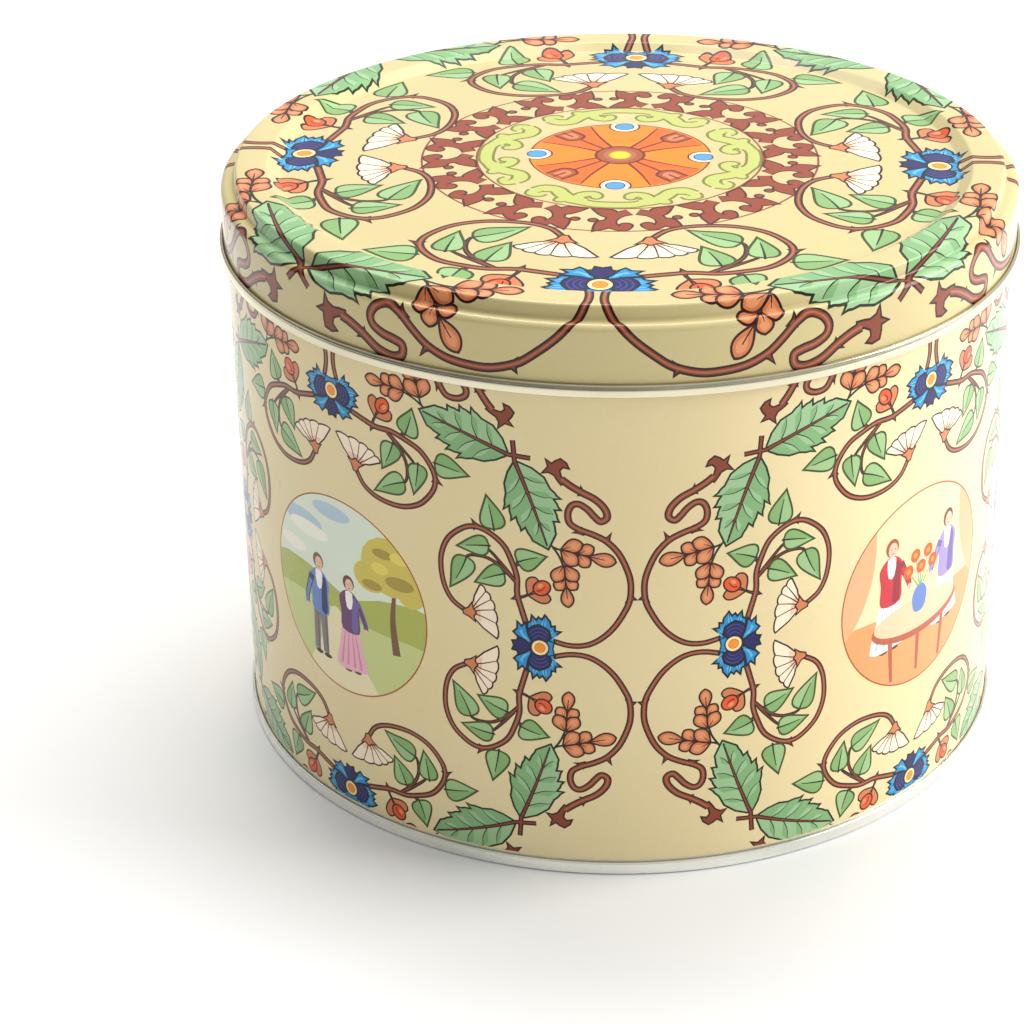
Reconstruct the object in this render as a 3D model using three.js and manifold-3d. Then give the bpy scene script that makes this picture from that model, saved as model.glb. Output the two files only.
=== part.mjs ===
// A round lithographed tin with a slip-on lid, 203 mm across the body and 152 mm tall.
//
// The real object is pressed and rolled from thin printed tinplate, so every metal piece here is a
// sheet: a centre line in the (r, z) half-plane, given the sheet's thickness and turned about the
// tin's axis. Units are millimetres, +Z is up, the origin is the centre of the base on the surface
// that the tin stands on, and -Y is the front.
//
// Pieces, as they come apart on a bench:
//   body_wall      the rolled wall, with its inward top curl, the lock seam that joins its two
//                  edges up the back, and the hook that the bottom end is seamed to
//   bottom_end     the pressed bottom: panel, countersink, and the double seam's outer folds
//   seam_compound  the rubber ring flowed into the double seam
//   lid            one pressed sheet: recessed panel, raised ridge, shoulder, skirt, rolled hem

import * as THREE from "three";
import { mergeVertices } from "three/addons/utils/BufferGeometryUtils.js";
import Module from "manifold-3d";

// ---- driving dimensions ------------------------------------------------------------------------
const BODY_RADIUS = 101.5;        // outside of the body wall
const TOTAL_HEIGHT = 152;         // floor to the lid's ridge
const SHEET = 0.27;               // tinplate thickness, all three sheets
const FOLD_GAP = 0.05;            // air left between folded layers in the double seam
const TURN_SEGMENTS = 60;         // flats round each turned sheet

// Lid, from the centre out
const PANEL_DEPTH = 2.1;          // how far the centre panel's edge lies below the ridge
const PANEL_CROWN = 1.4;          // how far the panel's middle swells above its edge
const PANEL_RADIUS = 87.2;        // where the panel starts to climb
const RIDGE_INNER_RADIUS = 90;    // where the climb meets the flat ridge
const RIDGE_OUTER_RADIUS = 98.2;  // where the ridge turns down
const SHOULDER_DROP = 3.57;       // ridge down to the top of the shoulder
const LID_CLEARANCE = 0.27;       // skirt to body wall, on the radius
const HEM_BOTTOM = 131;           // height of the lid's lower edge
const HEM_HEIGHT = 3.1;           // height of the outward rolled hem
const HEM_BULGE = 1.22;           // how far the hem's outer leg stands off the skirt

// Body
const CURL_RADIUS = 1.2;          // outside radius of the top curl
const LID_REST_GAP = 0.1;         // curl to the underside of the lid's shoulder
const LOCK_SEAM_WIDTH = 6;        // folded band up the back
const LOCK_SEAM_LAYERS = 3;       // extra thicknesses of sheet inside the wall at that band
const LOCK_SEAM_BOTTOM = 6;
const LOCK_SEAM_TOP_MARGIN = 4;   // seam stops this far below the tin's curl centre

// Bottom end
const SEAM_HEIGHT = 3.2;          // double seam, floor to its top fold
const COUNTERSINK_TOP = 4.94;     // highest point of the bottom end
const BOTTOM_PANEL_HEIGHT = 3.2;  // centre line of the outer panel
const BOTTOM_STEP_RADIUS = 87;    // expansion step in the panel
const BOTTOM_STEP_RISE = 0.8;

const HALF = SHEET / 2;

// ---- building blocks ---------------------------------------------------------------------------
const point = (r, z) => new THREE.Vector2(r, z);

// Points on an arc, both ends included; angles in degrees, 0 pointing outwards and 90 up.
function arc(centreR, centreZ, radius, fromDegrees, toDegrees, steps) {
  const points = [];
  for (let i = 0; i <= steps; i += 1) {
    const angle = THREE.MathUtils.degToRad(fromDegrees + ((toDegrees - fromDegrees) * i) / steps);
    points.push(point(centreR + radius * Math.cos(angle), centreZ + radius * Math.sin(angle)));
  }
  return points;
}

// The centre line moved sideways by half the sheet, mitred at each corner. A point on the axis
// stays on it.
function offsetLine(line, distance) {
  return line.map((here, i) => {
    if (here.x === 0) return point(0, here.y + distance);
    const before = line[Math.max(i - 1, 0)];
    const after = line[Math.min(i + 1, line.length - 1)];
    const incoming = here.clone().sub(before).normalize();
    const outgoing = after.clone().sub(here).normalize();
    if (i === 0) incoming.copy(outgoing);
    if (i === line.length - 1) outgoing.copy(incoming);
    const middle = incoming.clone().add(outgoing).normalize();
    const stretch = distance / middle.dot(incoming);
    return point(here.x - middle.y * stretch, here.y + middle.x * stretch);
  });
}

// Closed outline of a sheet of the given centre line.
function sheetOutline(line) {
  const above = offsetLine(line, HALF);
  const below = offsetLine(line, -HALF);
  return [...above, ...below.reverse()];
}

// A closed (r, z) outline turned about the Z axis. The outline either closes on itself or starts
// and ends on the axis, and runs so that the faces point out.
function turned(outline) {
  const startsOnAxis = Math.abs(outline[0].x) < 1e-9;
  const profile = startsOnAxis ? [...outline] : [...outline, outline[0].clone()];
  const area = THREE.ShapeUtils.area(profile);
  if (area < 0) profile.reverse();
  const geometry = new THREE.LatheGeometry(profile, TURN_SEGMENTS);
  geometry.rotateX(Math.PI / 2);
  return geometry;
}

// A named mesh with its vertices shared.
function piece(name, geometry, material) {
  geometry.deleteAttribute("normal");
  geometry.deleteAttribute("uv");
  const merged = mergeVertices(geometry, 1e-4);
  merged.computeVertexNormals();
  const mesh = new THREE.Mesh(merged, material);
  mesh.name = name;
  return mesh;
}

// ---- materials ---------------------------------------------------------------------------------
const bodyPrint = new THREE.MeshStandardMaterial({ color: 0xe6d7a8, roughness: 0.25, metalness: 0 });
const lidPrint = new THREE.MeshStandardMaterial({ color: 0xfbefc6, roughness: 0.2, metalness: 0 });
const tinplate = new THREE.MeshStandardMaterial({ color: 0xd6d6d2, roughness: 0.3, metalness: 1 });
const compound = new THREE.MeshStandardMaterial({ color: 0xb9b2a0, roughness: 0.8, metalness: 0 });

// ---- lid ---------------------------------------------------------------------------------------
const CROWN_STEPS = 4;
const ridgeMid = TOTAL_HEIGHT - HALF;
const panelMid = ridgeMid - PANEL_DEPTH;
const shoulderTopMid = ridgeMid - SHOULDER_DROP;
const skirtMid = BODY_RADIUS + LID_CLEARANCE + HALF;

// The crowned centre panel, from the axis out to where its edge bend starts.
function crownedPanel(edgeRadius) {
  const points = [];
  for (let i = 0; i <= CROWN_STEPS; i += 1) {
    const share = i / CROWN_STEPS;
    points.push(point(share * edgeRadius, panelMid + PANEL_CROWN * (1 - share * share)));
  }
  return points;
}

function lidCentreLine() {
  const bend = 0.8;
  const shoulderBend = 1.6;
  const hemBend = HEM_BULGE / 2;
  const hemOuterMid = skirtMid + HEM_BULGE;
  const hemBendZ = HEM_BOTTOM + HALF + hemBend;
  const hemTop = HEM_BOTTOM + HEM_HEIGHT;
  return [
    ...crownedPanel(PANEL_RADIUS - bend),
    point(PANEL_RADIUS, panelMid + 0.15),
    point(RIDGE_INNER_RADIUS - bend, ridgeMid - 0.3),
    point(RIDGE_INNER_RADIUS, ridgeMid),
    ...arc(RIDGE_OUTER_RADIUS - bend, ridgeMid - bend, bend, 90, 15, 3),
    ...arc(RIDGE_OUTER_RADIUS + 1.1, shoulderTopMid + bend, bend, 195, 270, 2),
    ...arc(skirtMid - shoulderBend, shoulderTopMid - shoulderBend, shoulderBend, 90, 0, 4),
    point(skirtMid, hemBendZ),
    ...arc(skirtMid + hemBend, hemBendZ, hemBend, 180, 360, 4).slice(1),
    point(hemOuterMid, hemTop - hemBend),
    ...arc(skirtMid + hemBend, hemTop - hemBend, hemBend, 0, 105, 2).slice(1),
  ];
}

const lid = piece("lid", turned(sheetOutline(lidCentreLine())), lidPrint);

// ---- body wall ---------------------------------------------------------------------------------
const wallMid = BODY_RADIUS - HALF;
const curlMidRadius = CURL_RADIUS - HALF;
const curlTop = shoulderTopMid - HALF - LID_REST_GAP;
const curlCentreR = BODY_RADIUS - CURL_RADIUS;
const curlCentreZ = curlTop - CURL_RADIUS;

// Double seam layers, from the wall outwards, by their centre radii.
const layerPitch = SHEET + FOLD_GAP;
const chuckWallMid = wallMid - layerPitch;
const coverHookMid = wallMid + layerPitch;
const bodyHookMid = wallMid + 2 * layerPitch;
const seamingWallMid = wallMid + 3 * layerPitch;
const bodyHookBendZ = 1.1;
const bodyHookTop = 2.6;

function wallCentreLine() {
  return [
    point(bodyHookMid, bodyHookTop),
    ...arc(coverHookMid, bodyHookBendZ, layerPitch, 0, -180, 4),
    ...arc(curlCentreR, curlCentreZ, curlMidRadius, 0, 300, 8),
  ];
}

function closedMesh(geometry) {
  geometry.deleteAttribute("normal");
  geometry.deleteAttribute("uv");
  const merged = mergeVertices(geometry, 1e-4);
  return new wasm.Manifold(new wasm.Mesh({
    numProp: 3,
    vertProperties: merged.attributes.position.array,
    triVerts: merged.index.array,
  }));
}

function fromManifold(solid) {
  const mesh = solid.getMesh();
  const geometry = new THREE.BufferGeometry();
  geometry.setAttribute("position", new THREE.BufferAttribute(mesh.vertProperties, 3));
  geometry.setIndex(new THREE.BufferAttribute(mesh.triVerts, 1));
  return geometry;
}

// The lock seam's folded layers: a shallow band standing into the tin up the back of the wall.
function lockSeamBand() {
  const halfAngle = LOCK_SEAM_WIDTH / 2 / BODY_RADIUS;
  const innerRadius = BODY_RADIUS - SHEET * (1 + LOCK_SEAM_LAYERS);
  const arcSteps = 4;
  const outline = [];
  for (const [radius, from, to] of [[wallMid, -1, 1], [innerRadius, 1, -1]]) {
    for (let i = 0; i <= arcSteps; i += 1) {
      const angle = Math.PI / 2 + halfAngle * (from + ((to - from) * i) / arcSteps);
      outline.push(point(radius * Math.cos(angle), radius * Math.sin(angle)));
    }
  }
  const top = curlCentreZ - LOCK_SEAM_TOP_MARGIN;
  const band = new THREE.ExtrudeGeometry(new THREE.Shape(outline), {
    depth: top - LOCK_SEAM_BOTTOM,
    bevelEnabled: false,
  });
  band.translate(0, 0, LOCK_SEAM_BOTTOM);
  return band;
}

const wasm = await Module();
wasm.setup();
const wallShell = closedMesh(turned(sheetOutline(wallCentreLine())));
const wallSolid = wallShell.add(closedMesh(lockSeamBand()));
const bodyWall = piece("body_wall", fromManifold(wallSolid), bodyPrint);

// ---- bottom end --------------------------------------------------------------------------------
function bottomCentreLine() {
  const bend = 0.25;
  const sinkBend = 0.8;
  const sinkCentreZ = COUNTERSINK_TOP - HALF - sinkBend;
  const sinkCentreR = chuckWallMid - sinkBend;
  const panelBend = sinkCentreZ - BOTTOM_PANEL_HEIGHT;
  return [
    point(0, BOTTOM_PANEL_HEIGHT + BOTTOM_STEP_RISE),
    point(BOTTOM_STEP_RADIUS - 1, BOTTOM_PANEL_HEIGHT + BOTTOM_STEP_RISE),
    point(BOTTOM_STEP_RADIUS + 1, BOTTOM_PANEL_HEIGHT),
    ...arc(sinkCentreR - sinkBend - panelBend, sinkCentreZ, panelBend, 270, 360, 2),
    ...arc(sinkCentreR, sinkCentreZ, sinkBend, 180, 0, 4).slice(1),
    ...arc(chuckWallMid + bend, HALF + bend, bend, 180, 270, 2),
    ...arc(seamingWallMid - bend, HALF + bend, bend, 270, 360, 2),
    ...arc(bodyHookMid, SEAM_HEIGHT - HALF - layerPitch, layerPitch, 0, 180, 4),
    point(coverHookMid, bodyHookBendZ + HALF + 0.1),
  ];
}

const bottomEnd = piece("bottom_end", turned(sheetOutline(bottomCentreLine())), tinplate);

// ---- sealing compound in the double seam -------------------------------------------------------
function compoundOutline() {
  const low = SHEET + FOLD_GAP;
  const high = bodyHookBendZ - layerPitch - HALF - FOLD_GAP;
  const inner = wallMid - 0.03;
  const outer = bodyHookMid + 0.03;
  return [point(inner, low), point(outer, low), point(outer, high), point(inner, high)];
}

const seamCompound = piece("seam_compound", turned(compoundOutline()), compound);

// ---- assembly ----------------------------------------------------------------------------------
const tinBody = new THREE.Group();
tinBody.name = "tin_body";
tinBody.add(bodyWall, bottomEnd, seamCompound);

const lithographedTin = new THREE.Group();
lithographedTin.name = "lithographed_tin";
lithographedTin.add(tinBody, lid);

export default lithographedTin;
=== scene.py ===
"""A round lithographed tin with a slip-on lid, on a pale floor in soft studio light.

The printed picture is real geometry: the artwork is drawn as flat outlines, the sheet's face is
triangulated along them, and each triangle takes the ink it lies in. So the outlines are as sharp
as the mesh. Lengths are metres, +Z is up, -Y is the front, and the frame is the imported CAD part.
"""
import math

import bpy
import numpy as np
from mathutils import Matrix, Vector
from mathutils.geometry import delaunay_2d_cdt


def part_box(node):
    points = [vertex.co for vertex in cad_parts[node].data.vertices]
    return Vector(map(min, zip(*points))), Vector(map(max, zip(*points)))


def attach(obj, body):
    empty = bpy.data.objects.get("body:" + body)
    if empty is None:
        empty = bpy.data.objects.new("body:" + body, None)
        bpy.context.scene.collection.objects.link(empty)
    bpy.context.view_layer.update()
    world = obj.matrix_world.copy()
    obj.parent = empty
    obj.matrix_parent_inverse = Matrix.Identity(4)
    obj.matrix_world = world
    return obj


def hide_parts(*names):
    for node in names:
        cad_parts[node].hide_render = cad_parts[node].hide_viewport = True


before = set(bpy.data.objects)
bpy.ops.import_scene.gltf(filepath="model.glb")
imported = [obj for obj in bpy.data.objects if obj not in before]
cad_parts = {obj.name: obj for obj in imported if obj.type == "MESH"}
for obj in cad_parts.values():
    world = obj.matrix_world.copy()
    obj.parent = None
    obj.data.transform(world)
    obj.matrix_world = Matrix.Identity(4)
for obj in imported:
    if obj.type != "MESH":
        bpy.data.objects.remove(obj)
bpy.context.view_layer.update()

MM = 0.001

# ---- sizes ----------------------------------------------------------------------------------
lid_low, lid_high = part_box("lid")
TOTAL_HEIGHT = lid_high.z
HEM_BOTTOM = lid_low.z
HEM_RADIUS = lid_high.x
SEAM_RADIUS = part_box("bottom_end")[1].x
BODY_RADIUS = 101.5 * MM
SHEET = 0.27 * MM
HALF = SHEET / 2
FOLD_GAP = 0.05 * MM
COLUMNS = 180                     # columns of vertices round each turned sheet

# Lid, from the centre out
PANEL_DEPTH = 2.1 * MM
PANEL_CROWN = 1.4 * MM
PANEL_RADIUS = 87.2 * MM
RIDGE_INNER_RADIUS = 90 * MM
RIDGE_OUTER_RADIUS = 98.2 * MM
SHOULDER_DROP = 3.57 * MM
LID_CLEARANCE = 0.27 * MM
HEM_HEIGHT = 3.1 * MM
RIDGE_BEND = 0.8 * MM
SHOULDER_BEND = 1.6 * MM

# Body and bottom end
CURL_RADIUS = 1.2 * MM
LID_REST_GAP = 0.1 * MM
SEAM_HEIGHT = 3.2 * MM
COUNTERSINK_TOP = 4.94 * MM
BOTTOM_PANEL_HEIGHT = 3.2 * MM
BOTTOM_STEP_RADIUS = 87 * MM
BOTTOM_STEP_RISE = 0.8 * MM
BODY_HOOK_TOP = 2.6 * MM
BODY_HOOK_BEND_Z = 1.1 * MM
LOCK_SEAM_WIDTH = 6 * MM
LOCK_SEAM_LAYERS = 3              # sheets inside the wall's outer one
LOCK_SEAM_BOTTOM = 6 * MM
LOCK_SEAM_TOP_MARGIN = 4 * MM

# Artwork: one square tile, eightfold, drawn in units of its own
LID_UNIT = 81.7 * MM              # lid centre to the centre of a blue flower
BODY_UNIT = 56.3 * MM             # medallion centre to the centre of a blue flower
LID_TURN = math.radians(-5.57)    # how far the lid was put on turned from the body's pattern
BODY_TILES = 4
MEDALLION_HEIGHT = 63.6 * MM
PRINT_BOTTOM = 3.6 * MM
LINE = 0.0092                     # thickness of the drawn outlines, in units

# Inks, as sRGB 0 to 255
INKS = {
    "line": (48, 8, 6), "vine": (136, 62, 36), "vine_light": (176, 104, 70),
    "leaf": (158, 196, 146), "leaf_shade": (132, 178, 120), "leaf_line": (24, 38, 10),
    "small_leaf": (158, 194, 134), "small_shade": (134, 176, 108), "leaf_edge": (58, 74, 20),
    "blue": (22, 144, 206), "blue_pale": (96, 186, 224), "blue_deep": (18, 70, 150),
    "navy": (22, 26, 92), "navy_line": (6, 8, 32), "lilac": (74, 68, 142),
    "pollen": (250, 150, 36), "cream": (255, 226, 158), "ivory": (255, 240, 200),
    "oak": (214, 126, 76), "oak_light": (232, 152, 102), "bud": (234, 88, 32),
    "blossom": (254, 234, 206), "blossom_shade": (244, 200, 164), "orange": (255, 134, 0),
    "orange_deep": (246, 104, 4), "rust": (112, 30, 2), "umber": (168, 80, 30),
    "band": (146, 60, 30), "band_line": (70, 16, 4), "olive": (192, 198, 108),
    "olive_line": (122, 126, 40), "yellow": (255, 224, 40), "dot_blue": (80, 156, 202),
    "sky": (226, 234, 214), "cloud": (246, 244, 226), "gold_leaf": (212, 194, 84),
    "gold_shade": (170, 150, 58), "meadow": (202, 210, 136), "path": (238, 226, 182),
    "trunk": (120, 84, 52), "coat": (42, 38, 46), "grey": (122, 118, 124),
    "skin": (236, 192, 162), "hair": (96, 56, 36), "pink": (220, 136, 166),
    "rose": (238, 178, 194), "plum": (104, 58, 104), "red": (200, 44, 56),
    "red_deep": (150, 28, 42), "wash": (250, 220, 172), "blush": (240, 176, 128),
    "linen": (252, 248, 236), "table": (184, 92, 64), "cloth": (244, 202, 164),
    "lavender": (160, 142, 198), "azure": (98, 132, 196), "haze": (182, 204, 216),
    "mist": (206, 220, 212), "gold_bright": (232, 214, 96), "grass": (176, 184, 84),
    "terracotta": (240, 160, 100), "violet": (112, 92, 158),
}


# ---- flat drawing -----------------------------------------------------------------------------
def curve(points, steps=5, closed=False):
    """A smooth line through the points."""
    p = np.array(points, float)
    if closed:
        p = np.vstack([p[-1], p, p[0], p[1]])
    else:
        p = np.vstack([2 * p[0] - p[1], p, 2 * p[-1] - p[-2]])
    out = []
    for a, b, c, d in zip(p, p[1:], p[2:], p[3:]):
        for i in range(steps):
            t = i / steps
            out.append(0.5 * (2 * b + (c - a) * t + (2 * a - 5 * b + 4 * c - d) * t ** 2
                              + (3 * b - a - 3 * c + d) * t ** 3))
    if not closed:
        out.append(p[-2])
    return np.array(out)


def side_normals(path, closed=False):
    """The left-hand unit normal at each point of a line, with its length for a mitre."""
    if closed:
        before, after = np.roll(path, 1, 0), np.roll(path, -1, 0)
    else:
        before = np.vstack([2 * path[0] - path[1], path[:-1]])
        after = np.vstack([path[1:], 2 * path[-1] - path[-2]])

    def unit(v):
        return v / np.maximum(np.linalg.norm(v, axis=1, keepdims=True), 1e-12)

    one, two = unit(path - before), unit(after - path)
    middle = unit(one + two + 1e-9)
    stretch = 1 / np.maximum((middle * one).sum(1, keepdims=True), 0.45)
    return np.column_stack([-middle[:, 1], middle[:, 0]]) * stretch


def grow(outline, distance):
    """A closed outline moved outwards by distance."""
    outline = np.array(outline, float)
    x, y = outline.T
    area = (x * np.roll(y, -1) - np.roll(x, -1) * y).sum()
    return outline - side_normals(outline, closed=True) * distance * (1 if area > 0 else -1)


def ribbon(path, width, end_width=None):
    """The outline of a stroke along a line, which may taper."""
    path = np.array(path, float)
    last = width if end_width is None else end_width
    half = np.linspace(width, last, len(path))[:, None] / 2
    side = side_normals(path) * half
    return np.vstack([path + side, (path - side)[::-1]])


def ellipse(x, y, rx, ry=None, turn=0, count=24):
    """An ellipse's outline, turned by degrees."""
    a = np.linspace(0, 2 * math.pi, count, endpoint=False)
    ry = rx if ry is None else ry
    c, s = math.cos(math.radians(turn)), math.sin(math.radians(turn))
    px, py = rx * np.cos(a), ry * np.sin(a)
    return np.column_stack([x + c * px - s * py, y + s * px + c * py])


def span(base, tip):
    """A base point, the vector to the tip, and the same vector turned a quarter to the left."""
    base = np.array(base, float)
    along = np.array(tip, float) - base
    return base, along, np.array([-along[1], along[0]])


def petal(base, tip, width, fullness=0.62, bend=0.0, count=11):
    """A leaf or petal outline: round at its base, pointed at its tip, its axis bent to the left."""
    base, along, across = span(base, tip)
    t = np.linspace(0, 1, count) ** 1.25
    axis = base + t[:, None] * along + (bend * t * t)[:, None] * across
    half = width / 2 * np.sin(math.pi * t ** fullness)
    half = half[:, None] * across / np.linalg.norm(across)
    return np.vstack([(axis - half)[:-1], (axis + half)[:0:-1]])


def midline(base, tip, bend=0.0, start=0.0, end=1.0, count=7):
    """Part of a bent leaf's axis, from the share start of its length to the share end."""
    base, along, across = span(base, tip)
    t = np.linspace(start, end, count)
    return base + t[:, None] * along + (bend * t * t)[:, None] * across


class Drawing:
    """Flat shapes with inks, the later ones over the earlier ones."""

    def __init__(self):
        self.shapes = []

    def fill(self, outline, ink):
        self.shapes.append((np.array(outline, float), ink))

    def outlined(self, outline, ink, edge="line", line=LINE):
        self.fill(grow(outline, line / 2), edge)
        self.fill(grow(outline, -line / 2), ink)

    def stroke(self, path, width, ink="line", end_width=None):
        self.fill(ribbon(path, width, end_width), ink)

    def layers(self, strokes, shapes, *layers):
        """Tapered strokes and solid shapes, once for each layer: a wide dark one, then the next.

        A layer is what it adds to the strokes' width, how far it grows the shapes, and its ink.
        """
        for wider, grown, ink in layers:
            for path, start, end in strokes:
                self.stroke(path, start + wider, ink, end + wider)
            for outline in shapes:
                self.fill(grow(outline, grown), ink)

    def place(self, other, matrix, shift=(0, 0)):
        """Another drawing's shapes, turned, mirrored or scaled by a matrix and moved."""
        for outline, ink in other.shapes:
            self.fill(outline @ np.array(matrix, float).T + np.array(shift, float), ink)


def eightfold(octant):
    """A drawing in all eight positions of a square's symmetry, layer by layer."""
    whole = Drawing()
    turns = []
    for quarter in range(4):
        c, s = round(math.cos(quarter * math.pi / 2)), round(math.sin(quarter * math.pi / 2))
        for flip in (1, -1):
            turns.append(np.array([[c, -s * flip], [s, c * flip]], float))
    for outline, ink in octant.shapes:
        for turn in turns:
            whole.fill(outline @ turn.T, ink)
    return whole


# ---- the repeating ornament -------------------------------------------------------------------
VINE_WIDTH = 0.029                # with its dark edges
VINE_EDGE = 0.0070


def thorn(at, tip, width=0.044):
    """A small hollow-sided spike that stands on a vine."""
    at, along, across = span(at, tip)
    across = across / np.linalg.norm(along) * width / 2
    return np.array([at - across, at - across * 0.35 + along * 0.45, at + along,
                     at + across * 0.35 + along * 0.45, at + across])


def draw_vines(art):
    """The vine's stems, its thorns and the barbed end of the outer stem, in layers."""
    inner = curve([(0.945, 0.10), (0.925, 0.17), (0.905, 0.25), (0.905, 0.33), (0.885, 0.40),
                   (0.85, 0.475), (0.79, 0.525), (0.73, 0.545), (0.67, 0.53), (0.60, 0.47),
                   (0.565, 0.39), (0.56, 0.31), (0.575, 0.23), (0.61, 0.17), (0.67, 0.13)])
    low_branch = curve([(0.90, 0.31), (0.855, 0.355), (0.81, 0.39), (0.76, 0.408),
                        (0.70, 0.405), (0.675, 0.385)])
    high_branch = curve([(0.88, 0.335), (0.84, 0.385), (0.80, 0.43), (0.775, 0.452)])
    leaf_stem = curve([(0.90, 0.385), (0.92, 0.40), (0.945, 0.41)])
    bud_stem = curve([(0.913, 0.235), (0.935, 0.243), (0.96, 0.258)])
    outer = curve([(1.05, 0.04), (1.13, 0.022), (1.20, 0.028), (1.26, 0.06), (1.315, 0.115),
                   (1.36, 0.19), (1.383, 0.25), (1.387, 0.33), (1.37, 0.40), (1.335, 0.475),
                   (1.285, 0.53), (1.23, 0.56), (1.17, 0.583), (1.133, 0.61), (1.126, 0.655),
                   (1.142, 0.692), (1.172, 0.70), (1.208, 0.677), (1.237, 0.643),
                   (1.262, 0.622), (1.288, 0.64), (1.280, 0.68), (1.24, 0.724), (1.18, 0.757),
                   (1.135, 0.785), (1.10, 0.812)])
    strokes = [(inner, VINE_WIDTH, 0.026), (outer, 0.027, 0.036),
               (low_branch, 0.022, 0.014), (high_branch, 0.020, 0.013),
               (leaf_stem, 0.017, 0.012), (bud_stem, 0.017, 0.013)]
    thorns = [thorn((0.735, 0.540), (0.706, 0.582)), thorn((0.907, 0.235), (0.876, 0.222)),
              thorn((1.376, 0.266), (1.414, 0.250), 0.062), thorn((1.283, 0.525), (1.308, 0.572)),
              thorn((1.188, 0.574), (1.140, 0.564), 0.040), thorn((1.188, 0.742), (1.180, 0.788))]
    finial = np.array([(1.120, 0.800), (1.101, 0.826), (1.096, 0.850), (1.108, 0.864),
                       (1.136, 0.858), (1.124, 0.888), (1.098, 0.908), (1.074, 0.896),
                       (1.060, 0.884), (1.032, 0.904), (1.042, 0.866), (1.014, 0.832),
                       (1.046, 0.838), (1.068, 0.826), (1.080, 0.806), (1.098, 0.782)])
    art.layers(strokes, thorns + [finial], (0.0, 0.3 * VINE_EDGE, "line"),
               (-2 * VINE_EDGE, -0.8 * VINE_EDGE, "vine"))
    for path, start, end in strokes[:2]:
        art.stroke(path, 0.22 * start, "vine_light", 0.22 * end)


def draw_small_leaf(art, base, tip, width, bend=0.0):
    """A smooth leaf, one half of it shaded."""
    outline = petal(base, tip, width, 0.5, bend, 13)
    half = len(outline) // 2
    spine = midline(base, tip, bend, 0.02, 0.97)
    art.outlined(outline, "small_leaf", "leaf_edge", LINE)
    shaded = np.vstack([grow(outline, -0.5 * LINE)[1:half + 1], spine[::-1]])
    art.fill(shaded, "small_shade")
    art.stroke(midline(base, tip, bend, -0.06, 0.72), 0.009, "leaf_line", 0.004)


LAST_TOOTH = 0.84                 # how far along the big leaf its teeth go


def draw_big_leaf(art, base, tip, width, bend=0.0, teeth=4):
    """A saw-edged leaf with side veins, its stem crossing its neighbour's on the diagonal."""
    base, along, across = span(base, tip)
    length = np.linalg.norm(along)
    across = across / length

    def axis(t):
        return base + t * along + bend * t * t * length * across

    def edge(t, side, proud=0.0):
        half = width / 2 * math.sin(math.pi * t ** 0.78) + proud
        return axis(t) + side * half * across

    sides = []
    for side, first in ((1, 0.38), (-1, 0.30)):
        points = [base] + [edge(t, side) for t in (0.05 * first, 0.3 * first, 0.65 * first)]
        pitch = (LAST_TOOTH - first) / teeth
        for k in range(teeth):
            start = first + k * pitch
            end = start + pitch
            points.append(edge(start, side, -0.008))
            points.append(edge(0.5 * (start + end), side, 0.004))
            points.append(edge(end - 0.02, side, 0.009))
            points.append(edge(end + 0.022, side, 0.024 - 0.002 * k))
        sides.append(points)
    outline = np.array(sides[1] + [edge(1.0, 1)] + sides[0][:0:-1])
    art.outlined(outline, "leaf", "leaf_line", LINE)
    inner = grow(outline, -0.5 * LINE)
    spine = midline(base, tip, bend, 0.0, 0.99, 12)
    art.fill(np.vstack([inner[1:len(sides[1]) + 1], spine[::-1]]), "leaf_shade")
    for side, ink in ((1, "leaf_shade"), (-1, "leaf")):
        for k in range(4):
            t = 0.16 + 0.17 * k
            start = axis(t)
            end = edge(t + 0.15, side, -0.012)
            middle = 0.5 * (start + end) + 0.012 * along / length
            vein = curve([start, middle, end], 4)
            art.fill(np.vstack([vein, [edge(t + 0.07, side, -0.03)]]), ink)
            art.stroke(vein, 0.0055, "leaf_line", 0.0025)


def draw_leaf_stem(art, base, tip, end, bend):
    """The big leaf's midrib, which runs back past its base as a stem."""
    rib = np.vstack([np.array([end]), midline(base, tip, bend, 0.0, 0.96, 12)])
    art.stroke(rib, 0.024, "line", 0.008)
    art.stroke(rib[:-1], 0.024 - 2 * VINE_EDGE, "vine", 0.002)


def draw_oak_sprig(art, base, tip, lobe=0.082):
    """A russet leaf drawn as rounded lobes in pairs, with one at its end."""
    base, along, _ = span(base, tip)
    length = np.linalg.norm(along)
    angle = math.atan2(along[1], along[0])

    def lobe_at(t, turn, size):
        start = base + t * along
        aim = angle + math.radians(turn)
        end = start + size * np.array([math.cos(aim), math.sin(aim)])
        return start, end

    parts = [(lobe_at(0.50, 0, 0.50 * length), 0.27 * length)]
    for t, turn, size, plump in ((0.31, 40, 0.92 * lobe, 0.74), (0.0, 33, 1.20 * lobe, 0.66)):
        parts += [(lobe_at(t, side * turn, size), plump * size) for side in (1, -1)]
    for (start, end), width in parts:
        outline = petal(end, start, width, 0.72)
        art.outlined(outline, "oak", "line", 0.9 * LINE)
        middle = 0.5 * (start + end)
        art.fill(middle + 0.55 * (outline - middle) + 0.08 * (end - start), "oak_light")
        art.stroke([start, start + 0.5 * (end - start)], 0.006, "line", 0.002)
    art.stroke([base, base + 0.80 * along], 0.008, "line", 0.004)


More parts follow.
